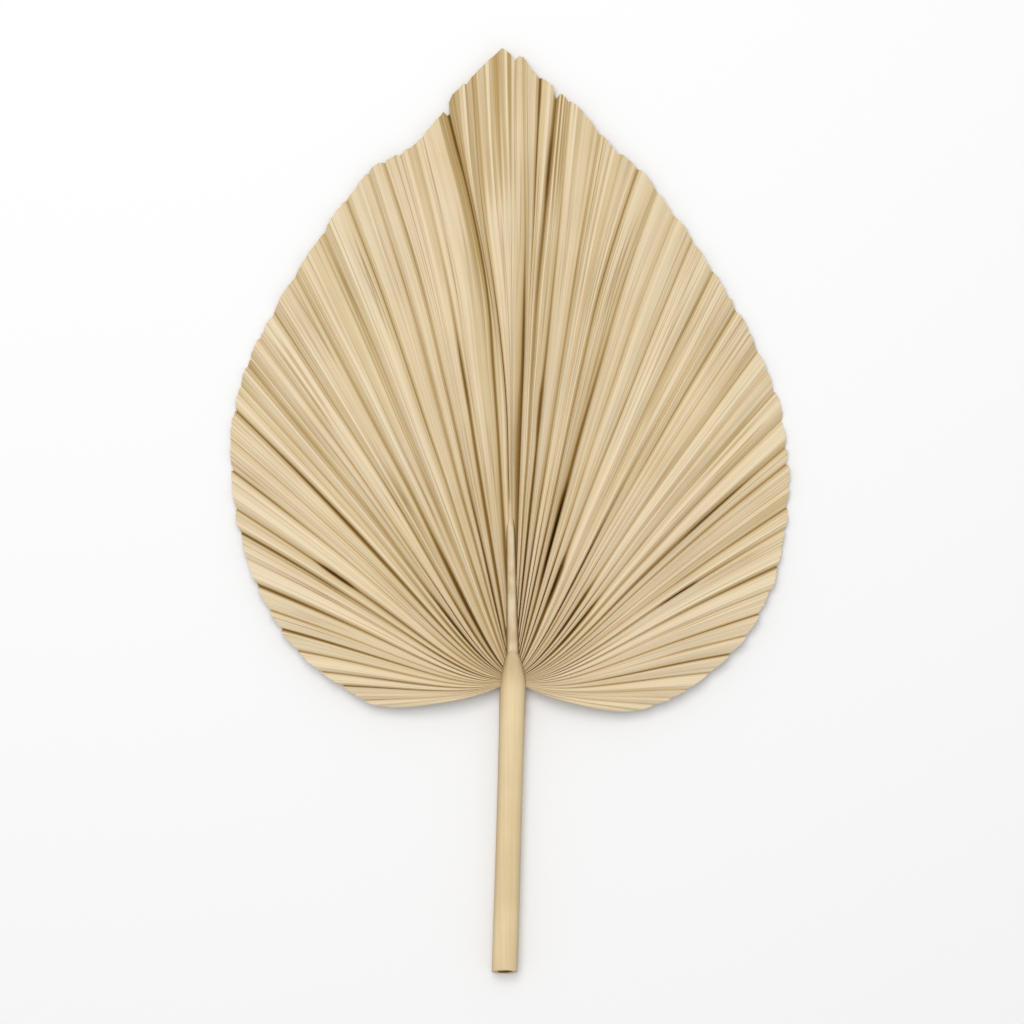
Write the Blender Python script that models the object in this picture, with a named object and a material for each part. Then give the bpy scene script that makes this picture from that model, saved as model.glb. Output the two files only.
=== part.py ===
"""A fan palm leaf: sun-dried, trimmed to a spade, with its petiole still on.

Metres, +Z up. The leaf lies face up on z = 0 with its petiole towards -Y. The origin is on
that surface, under the middle of the leaf's length and width.
"""
import math
import random

import bmesh
import bpy
from mathutils import Matrix, Vector

MM = 0.001
SEED = 11
LEAF_NAME = "palm_leaf"

# Driving sizes
LEAF_LENGTH = 450 * MM  # cut end of the petiole to the tip of the blade
PETIOLE_LENGTH = 144 * MM  # cut end of the petiole to the point that the folds spread from
PETIOLE_LEAN = -4.2 * MM  # how far the cut end lies to the left of the fan centre
FAN_CENTRE = Vector((0.6 * MM, PETIOLE_LENGTH - LEAF_LENGTH / 2))

# The trimmed margin of each half from the tip to the basal lobe: bearing from +Y in degrees,
# and distance from the fan centre in millimetres
TIP_BEARING = -1.0
LEFT_MARGIN = (
    (1, 306), (6, 285), (10.5, 266), (16, 257), (26, 228.5), (34, 212), (46, 189), (62, 150),
    (82, 105.5), (90, 84.5), (97.5, 70), (100.6, 57), (102, 43),
)
RIGHT_MARGIN = (
    (-1, 306), (6, 281), (10.5, 264), (15.5, 253), (20.5, 236.5), (30, 212), (42, 190), (62, 149),
    (78, 117.5), (88.7, 92.5), (97, 73), (101.3, 63), (104.1, 50.5), (105, 42),
)

# Bearings at which the deep folds of each half reach the margin
LEFT_DEEP_FOLDS = (
    3.9, 7, 10.8, 14.6, 16.2, 19.6, 23.3, 28.4, 33.1, 40.2, 42.8, 46, 53.4, 58.4, 61.6, 69.5,
    73.7, 77.2, 81.7, 86.6, 90.6, 96, 102,
)
RIGHT_DEEP_FOLDS = (
    0.9, 2.6, 4.3, 5.6, 9, 14.4, 17.2, 22.5, 26.1, 29.3, 31.1, 36.7, 42.4, 46, 49.6, 51.8, 57.9,
    60.9, 66.7, 74.7, 78.8, 82.6, 87, 92, 98, 105,
)

# The pleats between the deep folds
PLEAT_DEGREES = 3.5  # usual width of one pleat, ridge and valley, at the fan centre
PLEAT_HEIGHT = 3.4 * MM  # valley to ridge, where the blade is fully folded
MARGIN_HEIGHT_SHARE = 0.7  # the folds open out towards the margin
PLEAT_STEEPNESS = 0.5  # most height a pleat may have for its width where it runs
RIDGE_LEAN = 0.3  # where a ridge stands within its pleat
RIDGE_LEVEL = (0.7, 1.0)
SHALLOW_VALLEY_LEVEL = (-0.6, -0.1)
RIDGE_TOOTH = 0.6 * MM  # how far a ridge stands past the margin, and a deep fold short of it
FOLD_NOTCH = 1.3 * MM

# The blade's run from the root, which is sunk in the head of the petiole, to the margin
ROOT_SIDE_RADIUS = 4.0 * MM
ROOT_FRONT_RADIUS = 10.0 * MM
ROOT_FRONT_BEARINGS = (8, 32)
BLADE_ROWS = 14
ROW_CROWDING = 1.6  # rows stand closer together at the root, where the folds bend

# Folds leave the petiole sideways and swing up: degrees of swing at each bearing
SWING = ((0, 0), (12, 0), (46, 18.5), (70, 21.5), (88, 17), (105, 12))
SWING_START = 17 * MM
SWING_DECAY = 29.5 * MM

# Folds beside the midrib are crowded towards it in the lower part of the blade: degrees that each
# bearing of a half is shifted by, and the distance in millimetres at which the shift of each
# bearing, less than 0 on the left, starts to fade out
LEFT_SQUEEZE = (
    (0, 0), (3.9, 2.5), (7, 3.3), (10.8, 1.5), (14.6, 1.6), (16.2, 0.9), (19.6, 0.8), (28.4, 0),
)
RIGHT_SQUEEZE = (
    (0, 0), (0.9, -0.8), (2.6, 0.1), (4.3, 0.7), (5.6, -0.2), (9, 0.3), (14.4, 2), (17.2, 1.8),
    (22.5, 0.5), (26.1, 0),
)
SQUEEZE_START = ((-7, 170), (-3.9, 115), (0.9, 170))
SQUEEZE_FADE = 140 * MM

# Heights of the blade's middle surface above the surface it lies on
ROOT_HEIGHT = 7.5 * MM
TIP_HEIGHT = 5.0 * MM
SIDE_HEIGHT = 2.0 * MM
LOBE_HEIGHT = 8.5 * MM
SIDE_BEARING = 45.0
LOBE_BEARING = 100.0
CROWN = 4.0 * MM

# Upright thickness of the blade, which is more where the folds are steep
ROOT_THICKNESS = 1.3 * MM
MARGIN_THICKNESS = 0.9 * MM
THICKNESS_FADE = (80 * MM, 200 * MM)

# Petiole: distance from the cut end, height of its middle, half width and half height, in
# millimetres. The first stretch lies on the surface, and the last is the pointed hastula.
STALK_SIDES = 16
REST_HEIGHT = 6.2 * math.cos(math.pi / STALK_SIDES)
PETIOLE_STATIONS = (
    (0, REST_HEIGHT, 6.3, 6.2),
    (25, REST_HEIGHT, 6.3, 6.2),
    (75, 6.3, 6.1, 6.0),
    (115, 6.6, 6.2, 6.0),
    (138, 7.0, 6.4, 6.0),
    (145, 7.4, 5.9, 5.6),
    (151, 8.0, 4.6, 4.6),
    (155, 8.8, 3.3, 3.2),
    (158, 9.5, 1.7, 1.7),
    (160, 9.9, 0.5, 0.5),
)
CUT_SLANT = math.radians(12)
PITH_WALL = 1.8 * MM
PITH_DEPTH = 5.0 * MM

# Costa, the petiole's run on under the blade: distance from the fan centre, then as above. Its
# crest shows above the blade for the first quarter and ends in a point.
COSTA_STATIONS = (
    (-20, 5.6, 3.6, 3.2),
    (-4, 6.4, 3.8, 4.2),
    (15, 7.4, 3.2, 3.8),
    (50, 8.4, 2.5, 3.1),
    (71, 8.6, 2.2, 2.5),
    (80, 8.0, 1.7, 1.9),
    (88, 7.4, 1.4, 1.5),
    (125, 7.8, 1.1, 1.4),
    (160, 8.5, 0.6, 1.1),
)

STRAW = (0.66, 0.52, 0.31, 1.0)
STRAW_ROUGHNESS = 0.7
SMOOTHED_ANGLE = math.radians(50)


def smooth_step(value, low, high):
    """0 below low, 1 above high, and an S-curve between."""
    t = min(1.0, max(0.0, (value - low) / (high - low)))
    return t * t * (3 - 2 * t)


def smooth_through(points, x):
    """The smooth curve through (x, y) points in order of x, held flat past the ends."""
    if x <= points[0][0]:
        return points[0][1]
    if x >= points[-1][0]:
        return points[-1][1]
    i = max(k for k in range(len(points) - 1) if points[k][0] <= x)

    def slope(k):
        before, after = points[max(k - 1, 0)], points[min(k + 1, len(points) - 1)]
        return (after[1] - before[1]) / (after[0] - before[0])

    (x0, y0), (x1, y1) = points[i], points[i + 1]
    span = x1 - x0
    t = (x - x0) / span
    return (
        y0 * (1 + 2 * t) * (1 - t) ** 2
        + slope(i) * span * t * (1 - t) ** 2
        + y1 * t * t * (3 - 2 * t)
        + slope(i + 1) * span * t * t * (t - 1)
    )


def margin_radius(bearing):
    """Distance from the fan centre to the trimmed margin."""
    if bearing < TIP_BEARING:
        return smooth_through(LEFT_MARGIN, -bearing) * MM
    return smooth_through(RIGHT_MARGIN, bearing) * MM


def root_radius(bearing):
    """Distance from the fan centre to the blade's hidden inner edge."""
    aside = smooth_step(abs(bearing), *ROOT_FRONT_BEARINGS)
    return ROOT_FRONT_RADIUS + (ROOT_SIDE_RADIUS - ROOT_FRONT_RADIUS) * aside


def line_bearing(bearing, radius):
    """Where the fold that ends at this bearing runs, at a distance from the fan centre."""
    out = abs(bearing)
    swing = smooth_through(SWING, out) * math.exp((SWING_START - radius) / SWING_DECAY)
    squeeze = smooth_through(LEFT_SQUEEZE if bearing < 0 else RIGHT_SQUEEZE, out)
    start = smooth_through(SQUEEZE_START, bearing) * MM
    squeeze *= 1 - smooth_step(radius, start, start + SQUEEZE_FADE)
    return math.copysign(out + swing - squeeze, bearing)


def middle_height(bearing, share):
    """Height of the blade's middle surface, at a share of the way from root to margin."""
    out = abs(bearing)
    if out < SIDE_BEARING:
        edge = TIP_HEIGHT + (SIDE_HEIGHT - TIP_HEIGHT) * smooth_step(out, 0, SIDE_BEARING)
    else:
        rise = smooth_step(out, SIDE_BEARING, LOBE_BEARING)
        edge = SIDE_HEIGHT + (LOBE_HEIGHT - SIDE_HEIGHT) * rise
    return ROOT_HEIGHT + (edge - ROOT_HEIGHT) * share + CROWN * 4 * share * (1 - share)


def pleat_height(bearing, pleat_degrees, radius, share):
    """Valley-to-ridge height of a pleat, limited where the pleat is narrow."""
    opened = 1 - (1 - MARGIN_HEIGHT_SHARE) * share * share
    side = pleat_degrees / 2
    spread = line_bearing(bearing + side, radius) - line_bearing(bearing - side, radius)
    width = math.radians(abs(spread)) * radius
    return min(PLEAT_HEIGHT * opened, PLEAT_STEEPNESS * width)


def fold_lines():
    """Each ridge and valley from the left basal edge to the right one, as its bearing, its
    level between -1 and 1, and the width in degrees of its pleat. The blade's tip is a ridge."""
    rng = random.Random(SEED)
    deep = [-b for b in reversed(LEFT_DEEP_FOLDS)] + list(RIGHT_DEEP_FOLDS)
    lines = []
    for start, end in zip(deep, deep[1:]):
        count = max(1, round((end - start) / PLEAT_DEGREES))
        step = (end - start) / count
        for k in range(count):
            valley_bearing = start + k * step
            valley = -1.0 if k == 0 else rng.uniform(*SHALLOW_VALLEY_LEVEL)
            lean = RIDGE_LEAN if rng.random() < 0.5 else 1 - RIDGE_LEAN
            if valley_bearing < TIP_BEARING < valley_bearing + step:
                lean = (TIP_BEARING - valley_bearing) / step
            lines.append((valley_bearing, valley, step))
            lines.append((valley_bearing + lean * step, rng.uniform(*RIDGE_LEVEL), step))
    lines.append((deep[-1], -1.0, step))
    return lines


def fold_point(line, row):
    """A point of a fold line on the blade's upper face."""
    bearing, level, pleat_degrees = line
    share = (row / BLADE_ROWS) ** ROW_CROWDING
    tooth = RIDGE_TOOTH * level if level > 0 else FOLD_NOTCH * level
    root = root_radius(bearing)
    radius = root + (margin_radius(bearing) + tooth - root) * share
    angle = math.radians(line_bearing(bearing, radius))
    height = middle_height(bearing, share)
    height += level * pleat_height(bearing, pleat_degrees, radius, share) / 2
    return Vector((
        FAN_CENTRE.x + radius * math.sin(angle),
        FAN_CENTRE.y + radius * math.cos(angle),
        height,
    ))


def blade_thickness(point):
    """Upright thickness of the blade at a point of its upper face."""
    radius = (point.xy - FAN_CENTRE).length
    fade = smooth_step(radius, *THICKNESS_FADE)
    return ROOT_THICKNESS + (MARGIN_THICKNESS - ROOT_THICKNESS) * fade


def build_blade():
    """The pleated blade: a grid laid along the fold lines and thickened downwards, with what
    would sink into the surface below pressed flat on it."""
    lines = fold_lines()
    columns = len(lines) - 1
    bm = bmesh.new()
    bmesh.ops.create_grid(bm, x_segments=columns, y_segments=BLADE_ROWS, size=1.0)
    for vert in bm.verts:
        column = round((vert.co.x + 1) / 2 * columns)
        row = round((vert.co.y + 1) / 2 * BLADE_ROWS)
        vert.co = fold_point(lines[column], row)
    bmesh.ops.triangulate(bm, faces=bm.faces[:])
    upper = bm.verts[:]
    copied = bmesh.ops.extrude_face_region(bm, geom=bm.faces[:])["geom"]
    lower = [item for item in copied if isinstance(item, bmesh.types.BMVert)]
    for vert in lower:
        vert.co.z = max(0.0, vert.co.z - blade_thickness(vert.co))
    for vert in upper:
        vert.co.z = max(blade_thickness(vert.co), vert.co.z)
    bmesh.ops.recalc_face_normals(bm, faces=bm.faces[:])
    return new_object("blade", bm)


def stalk_x(y):
    """Sideways place of the petiole and costa, which lean a little to the left both ways."""
    along = y - FAN_CENTRE.y
    if along < 0:
        return FAN_CENTRE.x - PETIOLE_LEAN * along / PETIOLE_LENGTH
    return FAN_CENTRE.x + math.tan(math.radians(TIP_BEARING)) * along


def build_stalk(name, start_y, stations, cut_end=False):
    """A tapering stalk through its stations, whose distances run from start_y. One facet of its
    section faces straight down."""
    bm = bmesh.new()
    rings = []
    for distance, height, half_width, half_height in stations:
        made = bmesh.ops.create_circle(bm, segments=STALK_SIDES, radius=MM)["verts"]
        y = start_y + distance * MM
        place = (
            Matrix.Translation((stalk_x(y), y, height * MM))
            @ Matrix.Diagonal((half_width, 1.0, half_height, 1.0))
            @ Matrix.Rotation(math.radians(90), 4, "X")
            @ Matrix.Rotation(math.pi / STALK_SIDES, 4, "Z")
        )
        bmesh.ops.transform(bm, matrix=place, verts=made)
        rings.append(made)
    ring_edges = [[e for e in bm.edges if e.verts[0] in ring] for ring in map(set, rings)]
    for first, second in zip(ring_edges, ring_edges[1:]):
        bmesh.ops.bridge_loops(bm, edges=first + second)
    near_cap = bm.faces.new(rings[0])
    bm.faces.new(rings[-1])
    bmesh.ops.recalc_face_normals(bm, faces=bm.faces[:])
    if cut_end:
        cut_slantwise(bm, near_cap)
    stalk = new_object(name, bm)
    stalk.data.shade_smooth()
    stalk.data.set_sharp_from_angle(angle=SMOOTHED_ANGLE)
    return stalk


def cut_slantwise(bm, cap):
    """Slants the cut end so that it shows from above, and sinks the dried pith in it."""
    for vert in cap.verts:
        vert.co.y += vert.co.z * math.tan(CUT_SLANT)
    bmesh.ops.inset_region(bm, faces=[cap], thickness=PITH_WALL)
    pith = bmesh.ops.extrude_discrete_faces(bm, faces=[cap])["faces"]
    bmesh.ops.translate(bm, vec=(0, PITH_DEPTH, 0), verts=pith[0].verts[:])


def new_object(name, bm):
    """An object in the scene that holds this bmesh."""
    mesh = bpy.data.meshes.new(name)
    bm.to_mesh(mesh)
    bm.free()
    made = bpy.data.objects.new(name, mesh)
    bpy.context.scene.collection.objects.link(made)
    return made


def straw_material():
    """Sun-bleached dry leaf: pale, matt and fibrous."""
    material = bpy.data.materials.new("sun_dried_palm")
    material.use_nodes = True
    shader = material.node_tree.nodes["Principled BSDF"]
    shader.inputs["Base Color"].default_value = STRAW
    shader.inputs["Roughness"].default_value = STRAW_ROUGHNESS
    shader.inputs["Metallic"].default_value = 0.0
    return material


def fuse(base, others):
    """One body from the base and the others, which are then removed."""
    joined = bpy.data.collections.new("grown_together")
    bpy.context.scene.collection.children.link(joined)
    for other in others:
        joined.objects.link(other)
    union = base.modifiers.new("grown_as_one", "BOOLEAN")
    union.operation = "UNION"
    union.operand_type = "COLLECTION"
    union.collection = joined
    union.solver = "EXACT"
    bpy.context.view_layer.objects.active = base
    bpy.ops.object.modifier_apply(modifier=union.name)
    for other in others:
        bpy.data.objects.remove(other)
    bpy.data.collections.remove(joined)


def main():
    """Builds the leaf as one grown piece."""
    for old in list(bpy.data.objects):
        bpy.data.objects.remove(old)
    leaf = build_blade()
    petiole = build_stalk("petiole", -LEAF_LENGTH / 2, PETIOLE_STATIONS, cut_end=True)
    costa = build_stalk("costa", FAN_CENTRE.y, COSTA_STATIONS)
    fuse(leaf, [petiole, costa])
    leaf.name = LEAF_NAME
    leaf.data.materials.clear()
    leaf.data.materials.append(straw_material())


main()
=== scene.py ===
"""A sun-dried fan palm leaf, dressed for its render.

Metres, +Z up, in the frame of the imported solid: the origin is on the surface that the leaf lies
on, the petiole points towards -Y and the tip towards +Y. The blade repeats the fold lines of the
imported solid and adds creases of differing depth, finer ribs, splits, a ragged margin and fibre.
"""
from __future__ import annotations

import logging
import math
import random
from dataclasses import dataclass, field, replace
from enum import Enum
from typing import Any, NamedTuple

import bmesh
import bpy
from mathutils import Matrix, Vector, noise


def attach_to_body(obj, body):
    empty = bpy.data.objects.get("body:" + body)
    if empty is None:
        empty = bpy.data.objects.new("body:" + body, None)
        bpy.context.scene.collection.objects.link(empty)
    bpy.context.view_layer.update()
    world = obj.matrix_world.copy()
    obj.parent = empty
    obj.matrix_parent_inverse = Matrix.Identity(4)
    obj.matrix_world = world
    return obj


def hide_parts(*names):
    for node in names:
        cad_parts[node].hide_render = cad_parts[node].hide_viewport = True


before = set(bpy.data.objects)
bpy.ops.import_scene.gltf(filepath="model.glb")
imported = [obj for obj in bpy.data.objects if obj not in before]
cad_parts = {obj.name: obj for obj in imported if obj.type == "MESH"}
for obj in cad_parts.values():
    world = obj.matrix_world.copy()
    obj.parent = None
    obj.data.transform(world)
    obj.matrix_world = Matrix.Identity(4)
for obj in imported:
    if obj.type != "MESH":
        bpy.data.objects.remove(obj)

MM = 0.001
SEED = 11
CAD_NODE = "palm_leaf"
BODY = "root"
LOG = logging.getLogger("fan_palm_leaf")

Pairs = tuple[tuple[float, float], ...]
Range = tuple[float, float]
Colour = tuple[float, float, float, float]
Tree = bpy.types.NodeTree
Socket = bpy.types.NodeSocket
WHOLE_RANGE: Range = (0.0, 1.0)


class Drift(Enum):
    """The slow random patterns of the leaf, each with the seed that tells it from the others."""

    JAG = 4.7
    RIB = 1.3
    WAVE_UP = 3.1
    WAVE_SIDEWAYS = 9.2
    RIND = 6.1
    PITH_EDGE = 8.4


class Course(Enum):
    """Where a lengthwise line of the blade's mesh runs."""

    FOLD = "on a fold line, at the bottom of its groove if it has one"
    LIP = "beside the groove of a deep fold"
    PANEL = "on the panel between two folds"


class Crease(NamedTuple):
    """A deep fold: its bearing in degrees at the margin, and how sharply it is creased, from 0 to
    1, near the root, at the middle of its run and at the margin."""

    bearing: float
    root: float
    middle: float
    margin: float


class Split(NamedTuple):
    """A stretch where a crease has cracked open: the crease's bearing, the distances from the fan
    centre where it starts and ends, and its width and depth, in millimetres."""

    bearing: float
    inner: float
    outer: float
    width: float
    depth: float


class Stain(NamedTuple):
    """A strip of golden fibre: its middle bearing and half width in degrees at the margin, the
    distances from the fan centre where it starts and ends in millimetres, and its strength."""

    bearing: float
    half_width: float
    inner: float
    outer: float
    strength: float


class Notch(NamedTuple):
    """A bite in the trimmed margin: bearing and half width in degrees, depth in millimetres, which
    is less than 0 where fibres stand out instead."""

    bearing: float
    half_width: float
    depth: float


class Station(NamedTuple):
    """A cross-section of a stalk: its distance along it, the height of its middle, its half width
    and its half height, in millimetres."""

    distance: float
    height: float
    half_width: float
    half_height: float


def smooth_step(value: float, low: float, high: float) -> float:
    """Eases from 0 at low to 1 at high.

    Args:
        value: The number to ease.
        low: Where the rise starts.
        high: Where the rise ends.

    Returns:
        A number from 0 to 1.
    """
    t = min(1.0, max(0.0, (value - low) / (high - low)))
    return t * t * (3 - 2 * t)


def smooth_through(points: Pairs, x: float) -> float:
    """Reads the smooth curve through some points, held flat past the ends.

    Args:
        points: Pairs (x, y) in order of x.
        x: Where to read the curve.

    Returns:
        The curve's y.
    """
    if x <= points[0][0]:
        return points[0][1]
    if x >= points[-1][0]:
        return points[-1][1]
    i = max(k for k in range(len(points) - 1) if points[k][0] <= x)

    def slope(k: int) -> float:
        """Slope of the curve at point k, from its neighbours."""
        before, after = points[max(k - 1, 0)], points[min(k + 1, len(points) - 1)]
        return (after[1] - before[1]) / (after[0] - before[0])

    (x0, y0), (x1, y1) = points[i], points[i + 1]
    span = x1 - x0
    t = (x - x0) / span
    return (
        y0 * (1 + 2 * t) * (1 - t) ** 2
        + slope(i) * span * t * (1 - t) ** 2
        + y1 * t * t * (3 - 2 * t)
        + slope(i + 1) * span * t * t * (t - 1)
    )


def there_and_back(value: float, start: float, end: float, rise: float, fall: float) -> float:
    """Eases from 0 to 1 after the start of a stretch and back to 0 before its end.

    Args:
        value: The number to ease.
        start: Where the stretch starts.
        end: Where it ends.
        rise: Share of the stretch at which 1 is reached.
        fall: Share of the stretch at which 1 is left.

    Returns:
        A number from 0 to 1.
    """
    length = end - start
    risen = smooth_step(value, start, start + rise * length)
    return risen * (1 - smooth_step(value, start + fall * length, end))


def wander(drift: Drift, *place: float) -> float:
    """A smooth random number from about -1 to 1 that changes slowly with the place."""
    x, y = (*place, 0.0)[:2]
    return 2 * noise.noise(Vector((x, y, drift.value)))


@dataclass(frozen=True)
class FoldLine:
    """A ridge or a valley of the blade."""

    CREASE_SHARES = (0.14, 0.45, 0.85)  # where a crease has the three sharpnesses it is given
    FADING = 0.95  # how much of its sharpness a shallow valley loses on its way
    FADING_SHARES = (0.08, 0.5)
    DEEPER = 0.2  # how much sharper the deeper ones of these are
    FAINT_LEVEL = 0.45  # share of its depth that a deep fold keeps where it isn't creased

    bearing: float  # degrees from +Y at the margin
    level: float  # 1 for the highest ridges, -1 for the deep folds
    pleat_degrees: float
    position: float  # counts pleats from the left: whole at a valley, halfway at a ridge
    crease: Crease | None = None  # given for a deep fold

    def sharpness(self, share: float) -> float:
        """How sharply the line is creased.

        Args:
            share: Share of the way from root to margin.

        Returns:
            0 on a ridge, 1 in the sharpest crease.
        """
        if self.crease:
            profile = tuple(zip(self.CREASE_SHARES, self.crease[1:]))
            return min(1.0, max(0.0, smooth_through(profile, share)))
        if self.level > 0:
            return 0.0
        faded = self.FADING * smooth_step(share, *self.FADING_SHARES)
        return 1.0 - faded - self.DEEPER * self.level

    def level_at(self, share: float) -> float:
        """The line's level where a faint crease is a shallow one.

        Args:
            share: Share of the way from root to margin.

        Returns:
            1 for the highest ridges, -1 for the deepest folds.
        """
        if self.crease:
            kept = self.FAINT_LEVEL + (1 - self.FAINT_LEVEL) * self.sharpness(share)
            return self.level * kept
        return self.level


@dataclass(frozen=True)
class Fan:
    """The plan that all folds follow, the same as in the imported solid."""

    leaf_length: float = 450 * MM
    petiole_length: float = 144 * MM
    petiole_lean: float = -4.2 * MM
    centre_x: float = 0.6 * MM
    tip_bearing: float = -1.0

    # The trimmed margin from the tip to the basal lobe: degrees, millimetres
    left_margin: Pairs = (
        (1, 306), (6, 285), (10.5, 266), (16, 257), (26, 228.5), (34, 212), (46, 189), (62, 150),
        (82, 105.5), (90, 84.5), (97.5, 70), (100.6, 57), (102, 43),
    )
    right_margin: Pairs = (
        (-1, 306), (6, 281), (10.5, 264), (15.5, 253), (20.5, 236.5), (30, 212), (42, 190),
        (62, 149), (78, 117.5), (88.7, 92.5), (97, 73), (101.3, 63), (104.1, 50.5), (105, 42),
    )

    left_creases: tuple[Crease, ...] = (
        Crease(3.9, 0.6, 0.8, 0.6), Crease(7, 0.8, 0.9, 1.0), Crease(10.8, 0.8, 0.9, 0.3),
        Crease(14.6, 0.8, 0.6, 0.35), Crease(16.2, 0.5, 0.5, 0.3), Crease(19.6, 0.6, 0.5, 0.5),
        Crease(23.3, 0.3, 0.3, 0.35), Crease(28.4, 1.0, 0.65, 0.35), Crease(33.1, 0.7, 0.35, 0.4),
        Crease(40.2, 1.0, 0.3, 0.5), Crease(42.8, 0.7, 0.4, 0.2), Crease(46, 0.6, 1.0, 0.8),
        Crease(53.4, 0.5, 0.25, 0.8), Crease(58.4, 0.5, 0.7, 0.6), Crease(61.6, 0.9, 0.6, 0.9),
        Crease(69.5, 0.7, 0.5, 0.85), Crease(73.7, 0.5, 0.35, 0.5), Crease(77.2, 0.6, 0.65, 0.75),
        Crease(81.7, 0.5, 0.5, 0.55), Crease(86.6, 0.6, 0.6, 0.45), Crease(90.6, 0.5, 0.5, 0.5),
        Crease(96, 0.4, 0.4, 0.3), Crease(102, 0.3, 0.2, 0.1),
    )
    right_creases: tuple[Crease, ...] = (
        Crease(0.9, 0.9, 0.95, 0.35), Crease(2.6, 0.3, 0.2, 0.9), Crease(4.3, 0.7, 0.5, 0.9),
        Crease(5.6, 0.9, 0.8, 0.5), Crease(9, 0.9, 0.6, 0.4), Crease(14.4, 0.9, 0.6, 0.7),
        Crease(17.2, 0.8, 1.0, 0.3), Crease(22.5, 0.9, 0.4, 0.4), Crease(26.1, 0.2, 0.2, 0.5),
        Crease(29.3, 1.0, 0.7, 0.2), Crease(31.1, 0.5, 0.2, 0.6), Crease(36.7, 0.9, 0.3, 0.5),
        Crease(42.4, 0.9, 0.3, 0.4), Crease(46, 0.6, 0.4, 0.2), Crease(49.6, 0.6, 0.9, 0.5),
        Crease(51.8, 0.5, 0.5, 0.7), Crease(57.9, 0.4, 0.25, 0.7), Crease(60.9, 0.7, 0.4, 0.3),
        Crease(66.7, 0.6, 0.4, 0.7), Crease(74.7, 0.6, 0.5, 0.6), Crease(78.8, 0.3, 0.2, 0.4),
        Crease(82.6, 0.5, 0.6, 0.6), Crease(87, 0.4, 0.5, 0.4), Crease(92, 0.3, 0.4, 0.2),
        Crease(98, 0.3, 0.3, 0.2), Crease(105, 0.3, 0.2, 0.1),
    )

    # Pleats between the deep folds
    usual_pleat: float = 3.5  # degrees
    pleat_height: float = 3.4 * MM
    margin_height_share: float = 0.7
    steepness: float = 0.5
    ridge_lean: float = 0.3
    ridge_level: Range = (0.7, 1.0)
    shallow_valley_level: Range = (-0.6, -0.1)

    # The blade's hidden root, and how the folds bend out of it
    root_front_radius: float = 10 * MM
    root_side_radius: float = 4 * MM
    root_front_bearings: Range = (8, 32)
    swing: Pairs = ((0, 0), (12, 0), (46, 18.5), (70, 21.5), (88, 17), (105, 12))
    swing_start: float = 17 * MM
    swing_decay: float = 29.5 * MM
    left_squeeze: Pairs = (
        (0, 0), (3.9, 2.5), (7, 3.3), (10.8, 1.5), (14.6, 1.6), (16.2, 0.9), (19.6, 0.8),
        (28.4, 0),
    )
    right_squeeze: Pairs = (
        (0, 0), (0.9, -0.8), (2.6, 0.1), (4.3, 0.7), (5.6, -0.2), (9, 0.3), (14.4, 2),
        (17.2, 1.8), (22.5, 0.5), (26.1, 0),
    )
    squeeze_start: Pairs = ((-7, 170), (-3.9, 115), (0.9, 170))
    squeeze_fade: float = 140 * MM

    # Heights of the middle surface
    root_height: float = 7.5 * MM
    tip_height: float = 5.0 * MM
    side_height: float = 2.0 * MM
    lobe_height: float = 8.5 * MM
    side_bearing: float = 45.0
    lobe_bearing: float = 100.0
    crown: float = 4.0 * MM

    @property
    def centre(self) -> Vector:
        """The point that the folds spread from, seen from above."""
        return Vector((self.centre_x, self.petiole_length - self.leaf_length / 2))

    def margin_radius(self, bearing: float) -> float:
        """Distance from the fan centre to the trimmed margin.

        Args:
            bearing: Degrees from +Y, clockwise.

        Returns:
            The distance in metres.
        """
        if bearing < self.tip_bearing:
            return smooth_through(self.left_margin, -bearing) * MM
        return smooth_through(self.right_margin, bearing) * MM

    def root_radius(self, bearing: float) -> float:
        """Distance from the fan centre to the blade's hidden inner edge."""
        aside = smooth_step(abs(bearing), *self.root_front_bearings)
        return self.root_front_radius + (self.root_side_radius - self.root_front_radius) * aside

    def line_bearing(self, bearing: float, radius: float) -> float:
        """Where a fold runs at some distance from the fan centre.

        Args:
            bearing: Degrees at which the fold reaches the margin.
            radius: Distance from the fan centre.

        Returns:
            Degrees from +Y, clockwise.
        """
        out = abs(bearing)
        swing = smooth_through(self.swing, out)
        swing *= math.exp((self.swing_start - radius) / self.swing_decay)
        squeeze = smooth_through(self.left_squeeze if bearing < 0 else self.right_squeeze, out)
        start = smooth_through(self.squeeze_start, bearing) * MM
        squeeze *= 1 - smooth_step(radius, start, start + self.squeeze_fade)
        return math.copysign(out + swing - squeeze, bearing)

    def middle_height(self, bearing: float, share: float) -> float:
        """Height of the blade's middle surface, halfway between ridges and valleys.

        Args:
            bearing: Degrees at the margin.
            share: Share of the way from root to margin.

        Returns:
            The height in metres.
        """
        out = abs(bearing)
        if out < self.side_bearing:
            rise = smooth_step(out, 0, self.side_bearing)
            edge = self.tip_height + (self.side_height - self.tip_height) * rise
        else:
            rise = smooth_step(out, self.side_bearing, self.lobe_bearing)
            edge = self.side_height + (self.lobe_height - self.side_height) * rise
        arch = self.crown * 4 * share * (1 - share)
        return self.root_height + (edge - self.root_height) * share + arch

    def height_of_pleat(self, bearing: float, degrees: float, radius: float, share: float) -> float:
        """Valley-to-ridge height of a pleat, limited where the pleat is narrow.

        Args:
            bearing: Where the line reaches the margin.
            degrees: Width of its pleat at the margin.
            radius: Distance from the fan centre.
            share: Share of the way from root to margin.

        Returns:
            The height in metres.
        """
        opened = 1 - (1 - self.margin_height_share) * share * share
        side = degrees / 2
        spread = self.line_bearing(bearing + side, radius) - self.line_bearing(bearing - side, radius)
        width = math.radians(abs(spread)) * radius
        return min(self.pleat_height * opened, self.steepness * width)

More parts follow.
